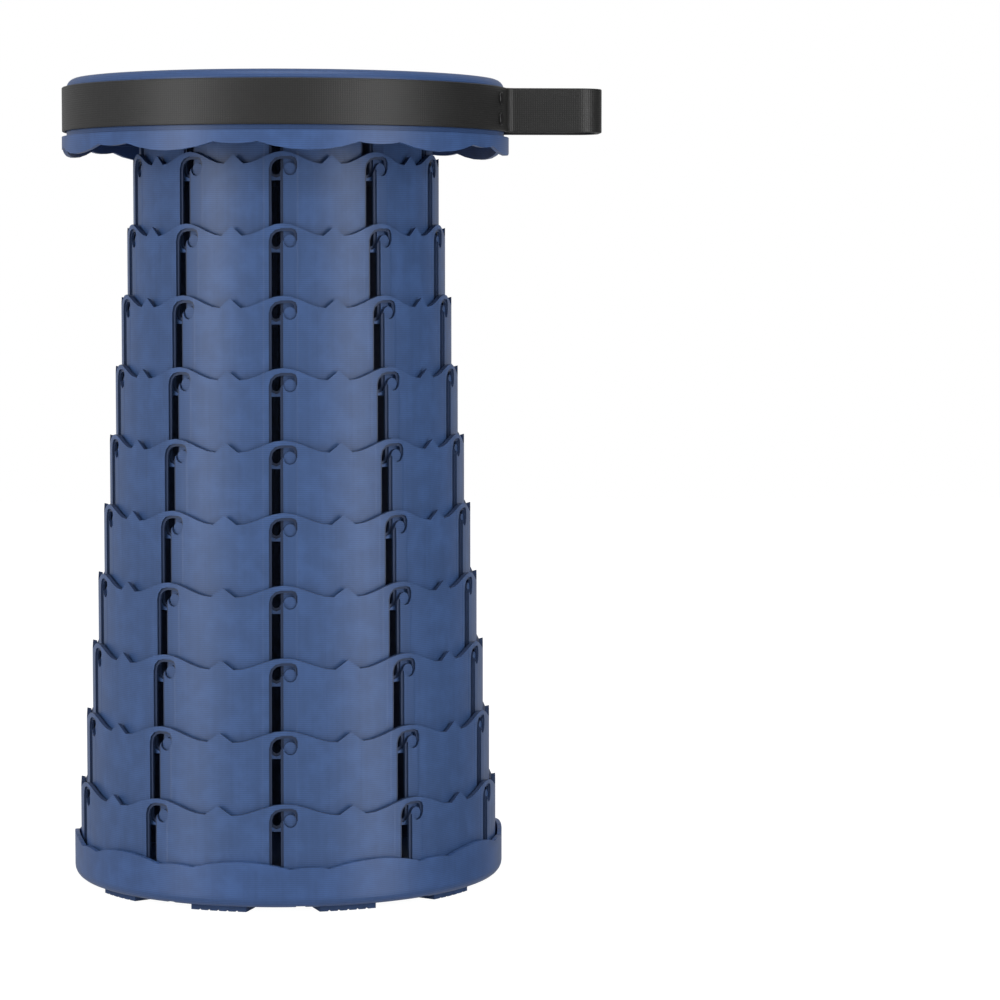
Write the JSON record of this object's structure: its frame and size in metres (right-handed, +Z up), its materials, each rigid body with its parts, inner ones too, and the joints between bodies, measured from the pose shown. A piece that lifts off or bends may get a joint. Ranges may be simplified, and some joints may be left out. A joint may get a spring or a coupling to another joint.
{
  "type": "telescopic stool",
  "caption": "Collapsible telescopic stool: nested rings with hooked slots slide out of a round dish and carry a round seat with a webbing strap and carry loop.",
  "frame": {"origin": "on the floor, under the middle of the base", "axes": "+Z up along the axis of the rings, +X towards the carry loop, -Y to the front"},
  "size_m": [0.302, 0.2519, 0.4499],
  "materials": {
    "ring_blue": "satin moulded",
    "base_blue": "satin moulded",
    "seat_blue": "satin moulded",
    "cap_blue": "satin moulded",
    "foot_rubber": "matt rubber",
    "cup_black": "matt moulded",
    "webbing": "woven webbing",
    "rivet_black": "black enamel"
  },
  "bodies": {
    "base": {"base_dish": "base_blue", "base_feet": "foot_rubber", "ring_1": "ring_blue"},
    "stage_2": {"ring_2": "ring_blue"},
    "stage_3": {"ring_3": "ring_blue"},
    "stage_4": {"ring_4": "ring_blue"},
    "stage_5": {"ring_5": "ring_blue"},
    "stage_6": {"ring_6": "ring_blue"},
    "stage_7": {"ring_7": "ring_blue"},
    "stage_8": {"ring_8": "ring_blue"},
    "stage_9": {"ring_9": "ring_blue"},
    "stage_10": {"ring_10": "ring_blue"},
    "seat": {"seat_neck": "ring_blue", "seat_shell": "seat_blue", "seat_cap": "cap_blue", "finger_cups": "cup_black", "strap_band": "webbing", "strap_handle": "webbing", "strap_splice": "webbing", "strap_rivets": "rivet_black"}
  },
  "joints": [
    {"name": "stage_2_slide", "type": "slide", "parent": "base", "child": "stage_2", "axis": [0, 0, 1], "range_m": [-0.0387, 0]},
    {"name": "stage_3_slide", "type": "slide", "parent": "stage_2", "child": "stage_3", "axis": [0, 0, 1], "range_m": [-0.0387, 0]},
    {"name": "stage_4_slide", "type": "slide", "parent": "stage_3", "child": "stage_4", "axis": [0, 0, 1], "range_m": [-0.0387, 0]},
    {"name": "stage_5_slide", "type": "slide", "parent": "stage_4", "child": "stage_5", "axis": [0, 0, 1], "range_m": [-0.0387, 0]},
    {"name": "stage_6_slide", "type": "slide", "parent": "stage_5", "child": "stage_6", "axis": [0, 0, 1], "range_m": [-0.0387, 0]},
    {"name": "stage_7_slide", "type": "slide", "parent": "stage_6", "child": "stage_7", "axis": [0, 0, 1], "range_m": [-0.0387, 0]},
    {"name": "stage_8_slide", "type": "slide", "parent": "stage_7", "child": "stage_8", "axis": [0, 0, 1], "range_m": [-0.0387, 0]},
    {"name": "stage_9_slide", "type": "slide", "parent": "stage_8", "child": "stage_9", "axis": [0, 0, 1], "range_m": [-0.0387, 0]},
    {"name": "stage_10_slide", "type": "slide", "parent": "stage_9", "child": "stage_10", "axis": [0, 0, 1], "range_m": [-0.0387, 0]},
    {"name": "seat_slide", "type": "slide", "parent": "stage_10", "child": "seat", "axis": [0, 0, 1], "range_m": [-0.0387, 0]}
  ]
}
